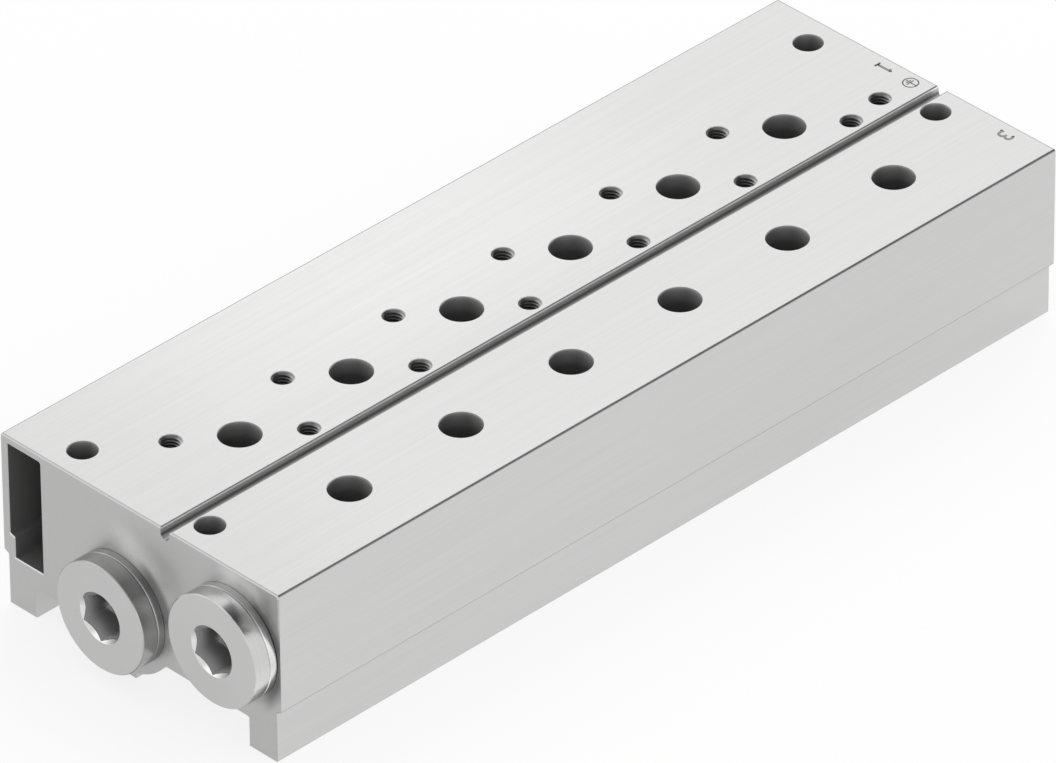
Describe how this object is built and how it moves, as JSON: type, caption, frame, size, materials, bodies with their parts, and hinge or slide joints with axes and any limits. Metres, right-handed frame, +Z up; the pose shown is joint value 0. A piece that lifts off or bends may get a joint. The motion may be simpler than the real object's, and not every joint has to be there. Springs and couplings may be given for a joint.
{
  "type": "valve manifold block",
  "caption": "Valve manifold block with two lengthwise galleries, a row of top valve seats with diagonal screw holes, a hollow side chamber and hex-socket end plugs.",
  "frame": {"origin": "centre of the footprint at the base plane, with the heads of the end plugs counted", "axes": "+Z up out of the valve face, +Y along the block from the plugged end to the open ports, +X across it from the hollow side chamber to port 3"},
  "size_m": [0.0826, 0.2346, 0.0423],
  "materials": {
    "block": "brushed and machined",
    "plug": "plated, polished rim and plain face",
    "sealing_ring": "turned, smooth"
  },
  "bodies": {
    "root": {"manifold_block": "block", "blanking_plug_a": "plug", "blanking_plug_b": "plug", "sealing_ring_a": "sealing_ring", "sealing_ring_b": "sealing_ring"}
  },
  "joints": []
}
